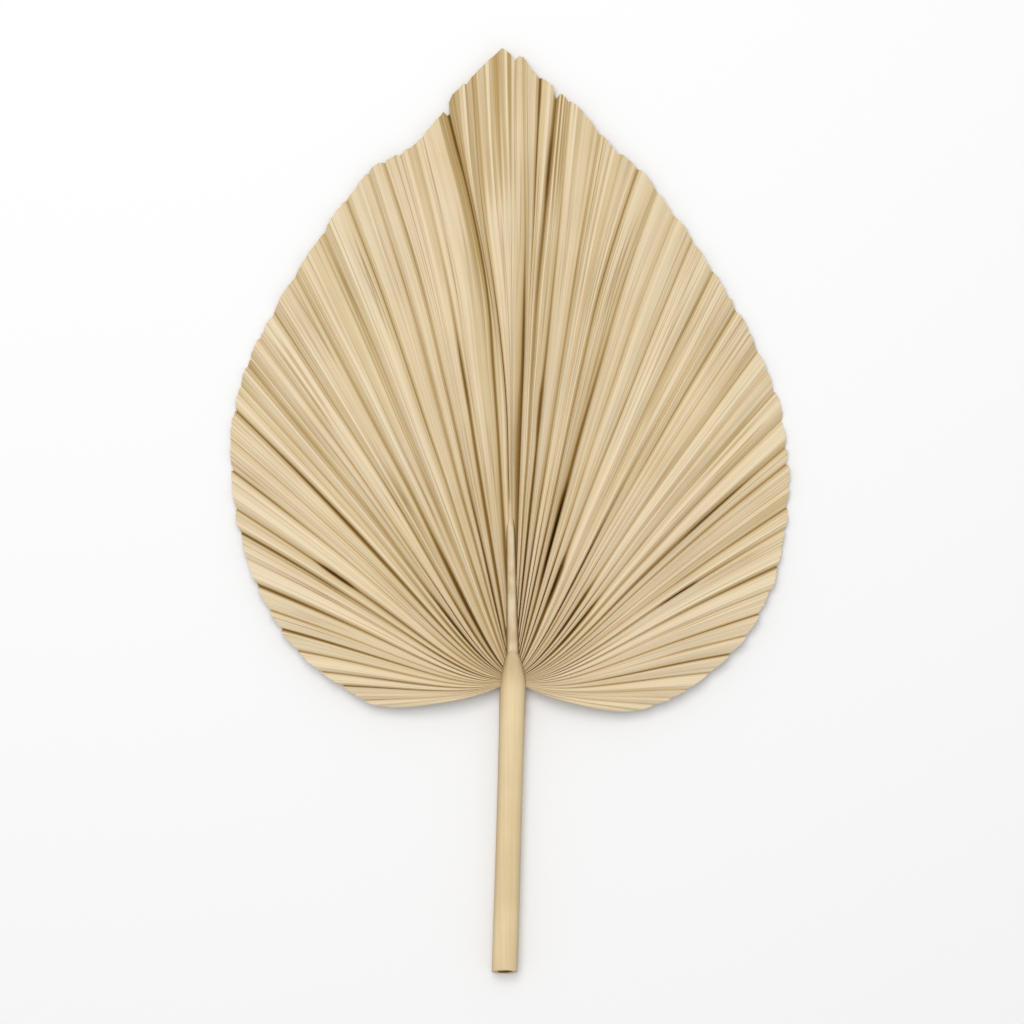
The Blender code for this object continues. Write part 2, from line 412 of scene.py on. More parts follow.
    def fold_lines(self) -> list[FoldLine]:
        """Lays out every ridge and valley from the left basal edge to the right one.

        Returns:
            The lines in order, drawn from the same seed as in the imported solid.
        """
        rng = random.Random(SEED)
        left = [crease._replace(bearing=-crease.bearing) for crease in reversed(self.left_creases)]
        deep = left + list(self.right_creases)
        lines = []
        pleat = 0
        for start, end in zip(deep, deep[1:]):
            count = max(1, round((end.bearing - start.bearing) / self.usual_pleat))
            step = (end.bearing - start.bearing) / count
            for k in range(count):
                valley_bearing = start.bearing + k * step
                valley = -1.0 if k == 0 else rng.uniform(*self.shallow_valley_level)
                lean = self.ridge_lean if rng.random() < 0.5 else 1 - self.ridge_lean
                if valley_bearing < self.tip_bearing < valley_bearing + step:
                    lean = (self.tip_bearing - valley_bearing) / step
                ridge_bearing = valley_bearing + lean * step
                ridge = rng.uniform(*self.ridge_level)
                lines.append(
                    FoldLine(valley_bearing, valley, step, pleat, start if k == 0 else None)
                )
                lines.append(FoldLine(ridge_bearing, ridge, step, pleat + 0.5))
                pleat += 1
        lines.append(FoldLine(deep[-1].bearing, -1.0, step, pleat, deep[-1]))
        return lines

    def stalk_x(self, y: float) -> float:
        """Sideways place of the petiole and costa, which lean a little to the left both ways.

        Args:
            y: Where along the leaf.

        Returns:
            The place in metres.
        """
        along = y - self.centre.y
        if along < 0:
            return self.centre_x - self.petiole_lean * along / self.petiole_length
        return self.centre_x + math.tan(math.radians(self.tip_bearing)) * along


@dataclass(frozen=True)
class Strand:
    """One lengthwise line of the blade's mesh, on a fold line or between two of them."""

    start: FoldLine
    end: FoldLine
    across: float  # 0 on the start line, 1 on the end line
    course: Course
    rib: float = 0.0  # height of this strand above the flank, as a share of the rib height
    number: int = 0

    @property
    def bearing(self) -> float:
        """Degrees at which the strand reaches the margin."""
        return self.start.bearing + (self.end.bearing - self.start.bearing) * self.across

    def level_at(self, share: float) -> float:
        """The strand's level between those of its fold lines, at a share of the way."""
        first, second = self.start.level_at(share), self.end.level_at(share)
        return first + (second - first) * self.across


def new_object(name: str, bm: bmesh.types.BMesh) -> bpy.types.Object:
    """Puts a finished bmesh in the scene.

    Args:
        name: Name of the piece.
        bm: Its mesh, in place. It is freed.

    Returns:
        The new object, at the origin.
    """
    mesh = bpy.data.meshes.new(name)
    bm.to_mesh(mesh)
    bm.free()
    made = bpy.data.objects.new(name, mesh)
    bpy.context.scene.collection.objects.link(made)
    return made


def attach(piece: bpy.types.Object) -> None:
    """Makes a piece ride on the leaf's body and stand for its solid.

    Args:
        piece: The finished piece.
    """
    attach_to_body(piece, BODY)
    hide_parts(CAD_NODE)


def linear(code: str) -> Colour:
    """Turns an sRGB hex colour to linear values.

    Args:
        code: Six hex digits.

    Returns:
        Red, green, blue and an alpha of 1.
    """
    def channel(value: int) -> float:
        """One linear channel from its value of 0 to 255."""
        share = value / 255
        return share / 12.92 if share <= 0.04045 else ((share + 0.055) / 1.055) ** 2.4

    red, green, blue = (channel(int(code[i:i + 2], 16)) for i in (0, 2, 4))
    return (red, green, blue, 1.0)


def add_node(
    tree: Tree, kind: str, inputs: dict[str | int, Any] | None = None, **settings: Any
) -> bpy.types.Node:
    """Adds a node with its settings and links.

    Args:
        tree: The node tree.
        kind: The node's type name.
        inputs: For each input, by name or number, its value or the output that feeds it.
        settings: Properties of the node.

    Returns:
        The node.
    """
    node = tree.nodes.new(kind)
    for name, value in settings.items():
        setattr(node, name, value)
    for key, value in (inputs or {}).items():
        if isinstance(value, Socket):
            tree.links.new(value, node.inputs[key])
        else:
            node.inputs[key].default_value = value
    return node


def new_material(
    name: str, roughness: float, gloss: float
) -> tuple[bpy.types.Material, bpy.types.Node]:
    """Starts a material.

    Args:
        name: What it is made of.
        roughness: Its roughness.
        gloss: Its specular level.

    Returns:
        The material and its shader.
    """
    material = bpy.data.materials.new(name)
    material.use_nodes = True
    shader = material.node_tree.nodes["Principled BSDF"]
    shader.inputs["Roughness"].default_value = roughness
    shader.inputs["Specular IOR Level"].default_value = gloss
    return material, shader


def weighed_sum(tree: Tree, values: tuple[Socket, ...], weights: tuple[float, ...]) -> Socket:
    """Adds values in a material.

    Args:
        tree: The node tree.
        values: What is added.
        weights: What each of them is multiplied by.

    Returns:
        The sum.
    """
    total: Any = 0.0
    for value, weight in zip(values, weights):
        total = add_node(
            tree, "ShaderNodeMath", {0: value, 1: weight, 2: total}, operation="MULTIPLY_ADD"
        ).outputs[0]
    return total


def coated(tree: Tree, base: Any, *coats: tuple[Socket, Range, Any]) -> Socket:
    """Lays coats of colour over each other in a material.

    Args:
        tree: The node tree.
        base: The colour below them all.
        coats: For each coat the value that it follows, the values at which it is missing and full,
            and its colour.

    Returns:
        The colour.
    """
    for value, (missing, full), colour in coats:
        share = add_node(
            tree, "ShaderNodeMapRange", {"Value": value, "From Min": missing, "From Max": full}
        ).outputs["Result"]
        base = add_node(
            tree, "ShaderNodeMix", {0: share, 6: base, 7: colour}, data_type="RGBA"
        ).outputs[2]
    return base


class Grain(NamedTuple):
    """Lengthwise noise: how often it changes in the width of a pleat and in the length of the
    blade, and its octaves of finer noise."""

    a_pleat: float
    a_length: float
    detail: float


@dataclass(frozen=True)
class BladeFinish:
    """Fan palm blade dried in the sun: a matt straw of long fibres, pale on the panels, golden
    where fibre is thick and brown down in the creases, partly the leaf's own browning and
    partly painted shade; the ridges and basal lobes are made paler as painted light."""

    pleat_count: int
    name: str = "sun_dried_palm_blade"
    pale: str = "EAD7B2"
    rosy: str = "E9D6B5"
    straw: str = "C6AD7B"
    # In the creases golden, brown and deep brown are partly the leaf's own browning and partly
    # painted shade; deep brown is mostly painted shadow in open cracks and tight root folds
    golden: str = "AE8F52"
    brown: str = "866532"
    deep_brown: str = "463110"
    roughness: float = 0.62
    gloss: float = 0.32

    # A pleat is about 12 mm wide at mid-blade, and the blade is 300 mm long
    streaks: Grain = Grain(5.0, 0.8, 3.0)  # 2.4 mm wide
    fibres: Grain = Grain(16.0, 1.6, 2.0)  # 0.75 mm, coarser than the real 0.3 mm, to show
    bundles: Grain = Grain(9.0, 1.5, 0.0)  # bundles of fibre 1.3 mm wide, parted by hairlines
    grain_roughness: float = 0.6
    fibre_depth: float = 0.10 * MM
    blotch_size: float = 38 * MM
    rosy_patch_size: float = 55 * MM
    patch_detail: float = 3.0
    hairline_spread: float = 0.08
    hairline_streaks: Range = (0.66, 0.38)  # the streaks in which they are missing and full
    hairline_strength: float = 0.62

    # What the tone of the panel, streaks, fibres, bundles, blotches and painted light add to paleness
    pale_weights: tuple[float, ...] = (0.32, 1.0, 0.6, 0.45, 0.5, 1.0)
    gold_weights: tuple[float, ...] = (1.0, -1.6, -0.8)  # of stain, bundles and fibres

    # The values at which each colour is missing and full
    pale_range: Range = (0.88, 1.72)
    rosy_range: Range = (0.4, 0.62)
    gold_range: Range = (-0.4, 0.3)
    # The crease value lays painted shade over the leaf's own browning in its creases
    golden_crease: Range = (0.0, 0.95)
    brown_crease: Range = (0.6, 1.2)
    deep_brown_crease: Range = (1.15, 1.8)

    def material(self) -> bpy.types.Material:
        """Builds the material.

        Returns:
            The material, which reads the blade's fold map, its own values and its coordinates.
        """
        material, shader = new_material(self.name, self.roughness, self.gloss)
        tree = material.node_tree
        fold_map = add_node(tree, "ShaderNodeUVMap", uv_map=Blade.FOLD_MAP).outputs["UV"]
        tone = self.panel_tone(tree, fold_map)
        streaks, fibres, bundles = (
            self.along_folds(tree, fold_map, grain)
            for grain in (self.streaks, self.fibres, self.bundles)
        )
        colour = self.colour(tree, tone, streaks, fibres, bundles)
        tree.links.new(colour, shader.inputs["Base Color"])
        height = weighed_sum(tree, (streaks, fibres), (1.0, 1.0))
        bump = add_node(tree, "ShaderNodeBump", {"Height": height, "Distance": self.fibre_depth})
        tree.links.new(bump.outputs["Normal"], shader.inputs["Normal"])
        return material

    def panel_tone(self, tree: Tree, fold_map: Socket) -> Socket:
        """A random tone for each flat panel between two folds.

        Args:
            tree: The node tree.
            fold_map: The blade's own map, whose first value runs across all pleats.

        Returns:
            A value from 0 to 1, the same all over a panel.
        """
        across = add_node(tree, "ShaderNodeSeparateXYZ", {0: fold_map}).outputs["X"]
        panel = add_node(
            tree, "ShaderNodeMath", {0: across, 1: 2.0 * self.pleat_count}, operation="MULTIPLY"
        ).outputs[0]
        number = add_node(tree, "ShaderNodeMath", {0: panel}, operation="FLOOR").outputs[0]
        return add_node(
            tree, "ShaderNodeTexWhiteNoise", {"W": number}, noise_dimensions="1D"
        ).outputs["Value"]

    def along_folds(self, tree: Tree, fold_map: Socket, grain: Grain) -> Socket:
        """Noise drawn out along the folds.

        Args:
            tree: The node tree.
            fold_map: The blade's own map.
            grain: The noise.

        Returns:
            A value around 0.5.
        """
        scale = (grain.a_pleat * self.pleat_count, grain.a_length, 1.0)
        stretched = add_node(tree, "ShaderNodeMapping", {"Vector": fold_map, "Scale": scale})
        return add_node(
            tree,
            "ShaderNodeTexNoise",
            {"Vector": stretched.outputs["Vector"], "Scale": 1.0, "Detail": grain.detail,
             "Roughness": self.grain_roughness},
            noise_dimensions="2D",
        ).outputs["Fac"]

    def colour(
        self, tree: Tree, tone: Socket, streaks: Socket, fibres: Socket, bundles: Socket
    ) -> Socket:
        """Mixes the blade's colour.

        Args:
            tree: The node tree.
            tone: The random tone of each panel.
            streaks: Broad lengthwise noise.
            fibres: Fine lengthwise noise.
            bundles: Smooth lengthwise noise, one swell to each bundle of fibre.

        Returns:
            The colour.
        """
        blotches, rosy_patches = self.patches(tree)
        # crease carries the creases' brown, partly painted shade; faded carries painted light on
        # ridges and lobes
        crease, stain, faded = (
            add_node(tree, "ShaderNodeAttribute", attribute_name=name).outputs["Fac"]
            for name in (Blade.CREASE_BROWN_AND_SHADE, Blade.STAIN, Blade.PAINTED_LIGHT)
        )
        paleness = weighed_sum(
            tree, (tone, streaks, fibres, bundles, blotches, faded), self.pale_weights
        )
        gold = weighed_sum(tree, (stain, bundles, fibres), self.gold_weights)
        hairlines = self.hairlines(tree, streaks, bundles)
        pale = coated(
            tree, linear(self.pale), (rosy_patches, self.rosy_range, linear(self.rosy))
        )
        return coated(
            tree,
            linear(self.straw),
            (paleness, self.pale_range, pale),
            (gold, self.gold_range, linear(self.golden)),
            # Creases: the leaf's own browning with painted shade laid in, darkest as painted shadow
            # in cracks
            (hairlines, WHOLE_RANGE, linear(self.brown)),
            (crease, self.golden_crease, linear(self.golden)),
            (crease, self.brown_crease, linear(self.brown)),
            (crease, self.deep_brown_crease, linear(self.deep_brown)),
        )

    def patches(self, tree: Tree) -> list[Socket]:
        """Cloudy noise over the whole blade.

        Args:
            tree: The node tree.

        Returns:
            Values around 0.5 for the blotches and for the rosy patches.
        """
        place = add_node(tree, "ShaderNodeTexCoord").outputs["Object"]
        return [
            add_node(
                tree,
                "ShaderNodeTexNoise",
                {"Vector": place, "Scale": 1 / size, "Detail": self.patch_detail},
            ).outputs["Fac"]
            for size in (self.blotch_size, self.rosy_patch_size)
        ]

    def hairlines(self, tree: Tree, streaks: Socket, bundles: Socket) -> Socket:
        """Thin brown lines between bundles of fibre: the level lines of the lengthwise noise,
        which run along the folds, merge and fade out.

        Args:
            tree: The node tree.
            streaks: Broad lengthwise noise, which fades the lines in and out.
            bundles: Smooth lengthwise noise.

        Returns:
            The strength of the lines.
        """
        middle = 0.5  # of the noise
        away = add_node(
            tree, "ShaderNodeMath", {0: bundles, 1: middle}, operation="SUBTRACT"
        ).outputs[0]
        away = add_node(tree, "ShaderNodeMath", {0: away}, operation="ABSOLUTE").outputs[0]
        line = add_node(
            tree,
            "ShaderNodeMapRange",
            {"Value": away, "From Max": self.hairline_spread, "To Min": 1.0, "To Max": 0.0},
        ).outputs["Result"]
        missing, full = self.hairline_streaks
        shown = add_node(
            tree,
            "ShaderNodeMapRange",
            {"Value": streaks, "From Min": missing, "From Max": full,
             "To Max": self.hairline_strength},
        ).outputs["Result"]
        return add_node(
            tree, "ShaderNodeMath", {0: line, 1: shown}, operation="MULTIPLY"
        ).outputs[0]


@dataclass
class Blade:
    """The pleated blade: a thin skin whose mesh runs along the fold lines."""

    FOLD_MAP = "fold_map"
    # The crease value is the creases' brown, partly painted shade; the faded value is painted light
    CREASE_BROWN_AND_SHADE = "crease"
    STAIN = "stain"
    PAINTED_LIGHT = "faded"

    fan: Fan
    name: str = "palm_blade"
    rows: int = 54
    row_crowding: float = 1.6
    broad_strips: int = 7
    narrow_strips: int = 5
    strip_shift: float = 0.2  # most that a strip's edge is moved, as a share of the strip
    skin: float = 0.5 * MM
    sharp_angle: float = math.radians(24)

    # Grooves and cracks in the creases
    groove_depth: float = 0.5 * MM
    groove_half_width: float = 0.34 * MM
    lip_share: float = 0.3  # most of a panel's width that a groove takes
    full_groove: float = 0.5  # share of the usual pleat height from which a groove is full
    same_bearing: float = 0.01  # degrees within which a split is meant for a crease
    crack_shares: Range = (0.4, 0.65)  # of its length, between which a crack is fully open

    # Colour values
    brown_reach: float = 1.3 * MM  # how far from a sharp crease its brown fades out
    faint_reach: float = 0.4  # share of that beside the faintest crease
    brown_share: float = 0.45  # most of a panel's width that the brown takes
    crack_shadow: float = 0.5  # painted shadow added for each millimetre of a crack's depth
    root_crease_shade: float = 0.45  # how much darker the creases are at the root: painted shade where the folds close tight
    root_crease_shade_fade: Range = (0.1, 0.42)  # shares of the way to the margin
    root_gold: float = 0.45  # how golden the blade is at its root
    root_gold_fade: Range = (12 * MM, 60 * MM)
    lobe_bearings: Range = (52, 78)  # where the basal lobes begin
    lobe_painted_light: float = 0.5  # painted light makes them paler, and the brown of their creases reaches the margin
    lobe_brown: float = 0.5
    lobe_root_crease_shade: float = 0.5  # share of the root's painted crease shade that they have
    ridge_highlight: float = 0.16  # painted highlight: the ridges are paler than the folds
    stain_core: float = 0.4  # share of a stain's half width that has its full strength
    stain_shares: Range = (0.3, 0.6)  # of its length, between which it has its full strength

    # Ribs of fibre along the panels, and gentle waves of the whole blade
    rib_height: float = 0.18 * MM
    rib_steepness: float = 0.14
    rib_shares: Range = (0.3, 1.0)  # heights of the lowest and highest ribs
    rib_mean: float = 0.7
    rib_variation: float = 0.5
    rib_step: float = 1.7  # from one strand's random pattern to the next one's
    rib_length: float = 45 * MM
    wave_height: float = 0.5 * MM
    wave_width: float = 7.0  # degrees
    wave_length: float = 60 * MM
    sway: float = 0.22  # degrees that the folds wander sideways
    sway_width: float = 3.5  # degrees
    sway_length: float = 50 * MM
    free_shares: Range = (0.05, 0.35)  # where the blade comes free of its root and can wave

    # The ragged margin
    pleat_reach: float = 0.6 * MM  # how far a pleat's cut end stands out or back
    jag: float = 0.45 * MM
    jag_step: float = 0.83  # from one strand's random pattern to the next one's
    ridge_tooth: float = 0.2 * MM
    fold_notch: float = 1.15 * MM

    splits: tuple[Split, ...] = (
        Split(-7, 240, 292, 0.9, 0.5), Split(-10.8, 125, 172, 0.5, 0.5),
        Split(-28.4, 24, 88, 0.4, 0.3), Split(-40.2, 22, 62, 0.5, 0.5),
        Split(-46, 62, 178, 0.4, 0.35), Split(-58.4, 84, 114, 1.2, 1.8),
        Split(0.9, 60, 215, 0.7, 0.6), Split(2.6, 270, 300, 0.6, 0.4),
        Split(4.3, 228, 268, 0.9, 0.7), Split(5.6, 112, 150, 0.6, 0.6),
        Split(17.2, 42, 104, 1.7, 2.0), Split(22.5, 36, 68, 1.2, 1.4),
        Split(29.3, 24, 96, 0.8, 0.8), Split(36.7, 22, 66, 0.7, 1.0),
        Split(42.4, 22, 62, 0.7, 1.0), Split(49.6, 100, 156, 0.5, 1.0),
        Split(60.9, 76, 104, 1.2, 2.0),
    )
    stains: tuple[Stain, ...] = (
        Stain(-6.3, 2.8, 120, 420, 1.25), Stain(4.9, 1.2, 190, 400, 1.1),
        Stain(-1.5, 3.5, 180, 420, 0.95), Stain(10, 3.0, 150, 320, 0.85),
        Stain(-22, 4.0, 25, 80, 0.6), Stain(-33, 5.0, 20, 80, 0.5), Stain(36, 5.0, 20, 80, 0.5),
        Stain(44, 4.0, 120, 190, 0.8), Stain(-35, 3.0, 140, 220, 0.8),
        Stain(-12, 2.0, 60, 150, 0.7), Stain(-15.5, 1.4, 110, 250, 0.7),
        Stain(14.5, 1.6, 150, 260, 0.8), Stain(27, 2.0, 120, 220, 0.7),
        Stain(-24, 1.6, 130, 235, 0.7), Stain(62, 3.0, 90, 150, 0.6),
        Stain(-72, 3.0, 70, 130, 0.6),
    )
    notches: tuple[Notch, ...] = (
        Notch(0.1, 0.3, 2.2), Notch(0.8, 0.7, -4.2), Notch(-7, 0.35, 3.2), Notch(4.3, 0.4, 3.2),
        Notch(-4.4, 0.5, 2.0), Notch(7.3, 0.3, 1.2), Notch(-12.6, 0.5, 1.6),
        Notch(-18.4, 0.3, 1.0), Notch(25, 0.4, 1.2), Notch(22.8, 0.3, 1.0),
        Notch(11.6, 0.3, 1.0),
    )
    rng: random.Random = field(default_factory=lambda: random.Random(SEED + 1))

    def strands(self, lines: list[FoldLine]) -> list[Strand]:
        """Divides the blade lengthwise.

        Args:
            lines: The fold lines from left to right.

        Returns:
            The strands from left to right, with a lip on both sides of each deep fold.
        """
        made = []
        for start, end in zip(lines, lines[1:]):
            broad = end.bearing - start.bearing > start.pleat_degrees / 2
            count = self.broad_strips if broad else self.narrow_strips
            made.append(Strand(start, end, 0.0, Course.FOLD))
            if start.crease:
                made.append(Strand(start, end, 0.0, Course.LIP))
            for k in range(1, count):
                across = (k + self.rng.uniform(-self.strip_shift, self.strip_shift)) / count
                rib = self.rng.uniform(*self.rib_shares) * (1 if k % 2 else -1)
                made.append(Strand(start, end, across, Course.PANEL, rib))
            if end.crease:
                made.append(Strand(start, end, 1.0, Course.LIP))
        made.append(Strand(lines[-2], lines[-1], 1.0, Course.FOLD))
        return [replace(strand, number=number) for number, strand in enumerate(made)]

    def reach(self, strand: Strand, pleat_reaches: list[float]) -> float:
        """How far the strand's cut end stands past the smooth margin.

        Args:
            strand: The strand.
            pleat_reaches: A random reach for each pleat.

        Returns:
            Metres, less than 0 where it stands back.
        """
        level = strand.level_at(1.0)
        reach = level * (self.ridge_tooth if level > 0 else self.fold_notch)
        reach += pleat_reaches[int(strand.start.position)]
        reach += self.jag * wander(Drift.JAG, strand.number * self.jag_step)
        for notch in self.notches:
            near = 1 - abs(strand.bearing - notch.bearing) / notch.half_width
            reach -= notch.depth * MM * max(0.0, near)
        return reach

    def opening(self, fold: FoldLine, share: float, radius: float) -> tuple[float, float]:
        """How wide and how deep the groove of a crease is, and the crack in it.

        Args:
            fold: The fold line, which has no groove unless it is a deep fold.
            share: Share of the way from root to margin.
            radius: Distance from the fan centre.

        Returns:
            The groove's half width in degrees, and the crack's depth in metres.
        """
        if not fold.crease:
            return 0.0, 0.0
        half_width = self.groove_half_width * fold.sharpness(share)
        depth = 0.0
        for split in self.splits:
            if abs(split.bearing - fold.bearing) < self.same_bearing:
                cracked = there_and_back(radius / MM, split.inner, split.outer, *self.crack_shares)
                half_width += cracked * split.width * MM / 2
                depth = cracked * split.depth * MM
        return math.degrees(half_width / radius), depth

    def lobe(self, strand: Strand) -> float:
        """How far onto a basal lobe a strand is, from 0 to 1."""
        return smooth_step(abs(strand.bearing), *self.lobe_bearings)

    def gold(self, strand: Strand, radius: float) -> float:
        """How golden the blade is, at its root and in its golden strips.

        Args:
            strand: The strand.
            radius: Distance from the fan centre.

        Returns:
            0 where it is plain straw, about 1 in a strong strip.
        """
        gold = self.root_gold * (1 - smooth_step(radius, *self.root_gold_fade))
        gold *= 1 - self.lobe(strand)
        for stain in self.stains:
            away = abs(strand.bearing - stain.bearing) / stain.half_width
            near = 1 - smooth_step(away, self.stain_core, 1.0)
            along = there_and_back(radius / MM, stain.inner, stain.outer, *self.stain_shares)
            gold += stain.strength * near * along
        return gold

    def crease_brown_and_shade(self, strand: Strand, share: float, radius: float) -> float:
        """How brown the blade is beside the creases that a strand runs between: partly the leaf's
        own browning and partly painted shade, darker still at the root where the folds close tight.

        Args:
            strand: The strand.
            share: Share of the way from root to margin.
            radius: Distance from the fan centre.

        Returns:
            0 where no crease is near, up to about 1 in a sharp crease.
        """
        panel = math.radians(strand.end.bearing - strand.start.bearing) * radius
        lobe = self.lobe(strand)
        brown = 0.0
        for fold, away in ((strand.start, strand.across), (strand.end, 1 - strand.across)):
            sharpness = fold.sharpness(share)
            if sharpness:
                reach = self.brown_reach * (self.faint_reach + (1 - self.faint_reach) * sharpness)
                reach = min(reach, self.brown_share * panel)
                brown = max(brown, sharpness * (1 - smooth_step(away * panel, 0.0, reach)))
        rooted = self.root_crease_shade * (1 - smooth_step(share, *self.root_crease_shade_fade))
        rooted *= 1 - (1 - self.lobe_root_crease_shade) * lobe
        return brown * (1 + rooted + self.lobe_brown * lobe * share)

    def place(
        self, strand: Strand, share: float, reach: float
    ) -> tuple[Vector, float, float, float]:
        """Finds a point of the upper face.

        Args:
            strand: The strand that it is on.
            share: Share of the way from root to margin.
            reach: How far the strand ends past the smooth margin.

        Returns:
            The point, and how brown the crease is there, partly painted shade, how golden the fibre,
            and how much painted light makes it paler.
        """
        fan = self.fan
        bearing = strand.bearing
        root = fan.root_radius(bearing)
        radius = root + (fan.margin_radius(bearing) + reach - root) * share
        level = strand.level_at(share)
        pleat = fan.height_of_pleat(bearing, strand.start.pleat_degrees, radius, share)
        height = fan.middle_height(bearing, share) + level * pleat / 2

        brown = self.crease_brown_and_shade(strand, share, radius)
        if strand.course is Course.FOLD:
            fold = strand.start if strand.across == 0.0 else strand.end
            crack = self.opening(fold, share, radius)[1]
            depth = self.groove_depth * fold.sharpness(share) + crack
            height -= depth * min(1.0, pleat / (fan.pleat_height * self.full_groove))
            # Painted shadow down in the open crack
            brown += self.crack_shadow * crack / MM
        else:
            span = strand.end.bearing - strand.start.bearing
            first, second = (
                min(self.opening(fold, share, radius)[0], self.lip_share * span)
                for fold in (strand.start, strand.end)
            )
            bearing = strand.start.bearing + first + (span - first - second) * strand.across
        width = math.radians(fan.usual_pleat / self.broad_strips) * radius
        rib = min(self.rib_height, self.rib_steepness * width) * strand.rib
        uneven = wander(Drift.RIB, strand.number * self.rib_step, radius / self.rib_length)
        height += rib * (self.rib_mean + self.rib_variation * uneven)
        free = smooth_step(share, *self.free_shares)
        wave = wander(Drift.WAVE_UP, bearing / self.wave_width, radius / self.wave_length)
        height += self.wave_height * free * wave
        swayed = wander(Drift.WAVE_SIDEWAYS, bearing / self.sway_width, radius / self.sway_length)
        bearing += self.sway * free * (1 - share) * swayed
        angle = math.radians(fan.line_bearing(bearing, radius))
        point = fan.centre + radius * Vector((math.sin(angle), math.cos(angle)))
        # Painted highlight on the ridges and painted light on the basal lobes
        faded = self.ridge_highlight * level + self.lobe_painted_light * self.lobe(strand)
        return Vector((*point, height)), brown, self.gold(strand, radius), faded

    def build(self) -> bpy.types.Object:
        """Builds the blade.

        Returns:
            The blade as one closed skin, with its fold map and its values for the finish.
        """
        lines = self.fan.fold_lines()
        strands = self.strands(lines)
        pleat_reaches = [
            self.rng.uniform(-self.pleat_reach, self.pleat_reach) for _ in range(len(lines) // 2 + 1)
        ]
        reaches = [self.reach(strand, pleat_reaches) for strand in strands]
        columns = len(strands) - 1
        bm = bmesh.new()
        bmesh.ops.create_grid(bm, x_segments=columns, y_segments=self.rows, size=1.0)
        # crease holds brown that is partly painted shade, faded holds painted light
        crease, stain, faded, across, along = (
            bm.verts.layers.float.new(name)
            for name in (self.CREASE_BROWN_AND_SHADE, self.STAIN, self.PAINTED_LIGHT, "across", "along")
        )
        # The grid runs from -1 to 1 both ways: across the strands, and from root to margin
        for vert in bm.verts:
            strand = strands[round((vert.co.x + 1) / 2 * columns)]
            share = ((vert.co.y + 1) / 2) ** self.row_crowding
            found = self.place(strand, share, reaches[strand.number])
            vert.co, vert[crease], vert[stain], vert[faded] = found
            start, end = strand.start.position, strand.end.position
            vert[across] = (start + (end - start) * strand.across) / lines[-1].position
            vert[along] = (vert.co.xy - self.fan.centre).length / self.fan.margin_radius(0)
        upper = bm.verts[:]
        copied = bmesh.ops.extrude_face_region(bm, geom=bm.faces[:])["geom"]
        for item in copied:
            if isinstance(item, bmesh.types.BMVert):
                item.co.z = max(0.0, item.co.z - self.skin)
        for vert in upper:
            vert.co.z = max(self.skin, vert.co.z)
        bmesh.ops.recalc_face_normals(bm, faces=bm.faces[:])
        fold_map = bm.loops.layers.uv.new(self.FOLD_MAP)
        for face in bm.faces:
            for loop in face.loops:
                loop[fold_map].uv = (loop.vert[across], loop.vert[along])
        blade = new_object(self.name, bm)
        blade.data.shade_smooth()
        blade.data.set_sharp_from_angle(angle=self.sharp_angle)
        blade.data.materials.append(BladeFinish(int(lines[-1].position)).material())
        attach(blade)
        return blade


@dataclass(frozen=True)
class StalkFinish:
    """Dried palm petiole: a smooth tan rind with fine lengthwise fibre and a faint soft gloss."""

    name: str = "sun_dried_palm_petiole"
    pale: str = "EDD7AB"
    tan: str = "DAC090"
    brown: str = "86663A"
    roughness: float = 0.5
    gloss: float = 0.4
    fibre_width: float = 0.9 * MM
    fibre_length: float = 60 * MM
    fibre_detail: float = 3.0
    fibre_roughness: float = 0.6
    fibre_depth: float = 0.06 * MM
    blotch_size: float = 30 * MM
    blotch_detail: float = 2.0
    fleck_scale: float = 0.25  # brown flecks are 4 times as wide and as long as the fibres
    pale_range: Range = (0.6, 1.4)  # fibres and blotches together, from tan to pale
    brown_range: Range = (0.0, 0.5)  # flecks times the rind's value of painted flank shade and far-end browning

    def material(self) -> bpy.types.Material:
        """Builds the material.

        Returns:
            The material, which reads object coordinates and the stalk's value of painted shade and
            age.
        """
        material, shader = new_material(self.name, self.roughness, self.gloss)
        tree = material.node_tree
        place = add_node(tree, "ShaderNodeTexCoord").outputs["Object"]
        scale = (1 / self.fibre_width, 1 / self.fibre_length, 1 / self.fibre_width)
        stretched = add_node(tree, "ShaderNodeMapping", {"Vector": place, "Scale": scale})
        lengthwise = stretched.outputs["Vector"]
        fibres, blotches, flecks = (
            add_node(tree, "ShaderNodeTexNoise", inputs).outputs["Fac"]
            for inputs in (
                {"Vector": lengthwise, "Scale": 1.0, "Detail": self.fibre_detail,
                 "Roughness": self.fibre_roughness},
                {"Vector": place, "Scale": 1 / self.blotch_size, "Detail": self.blotch_detail},
                {"Vector": lengthwise, "Scale": self.fleck_scale, "Detail": self.blotch_detail},
            )
        )
        # Painted shade on the flanks and browning at the far end, flecked
        shade_and_age = add_node(tree, "ShaderNodeAttribute", attribute_name=Stalk.SHADE_AND_AGE).outputs["Fac"]
        flecked_shade_and_age = add_node(tree, "ShaderNodeMath", {0: flecks, 1: shade_and_age}, operation="MULTIPLY")
        colour = coated(
            tree,
            linear(self.tan),
            (weighed_sum(tree, (fibres, blotches), (1.0, 1.0)), self.pale_range, linear(self.pale)),
            (flecked_shade_and_age.outputs[0], self.brown_range, linear(self.brown)),
        )
        bump = add_node(tree, "ShaderNodeBump", {"Height": fibres, "Distance": self.fibre_depth})
        tree.links.new(colour, shader.inputs["Base Color"])
        tree.links.new(bump.outputs["Normal"], shader.inputs["Normal"])
        return material


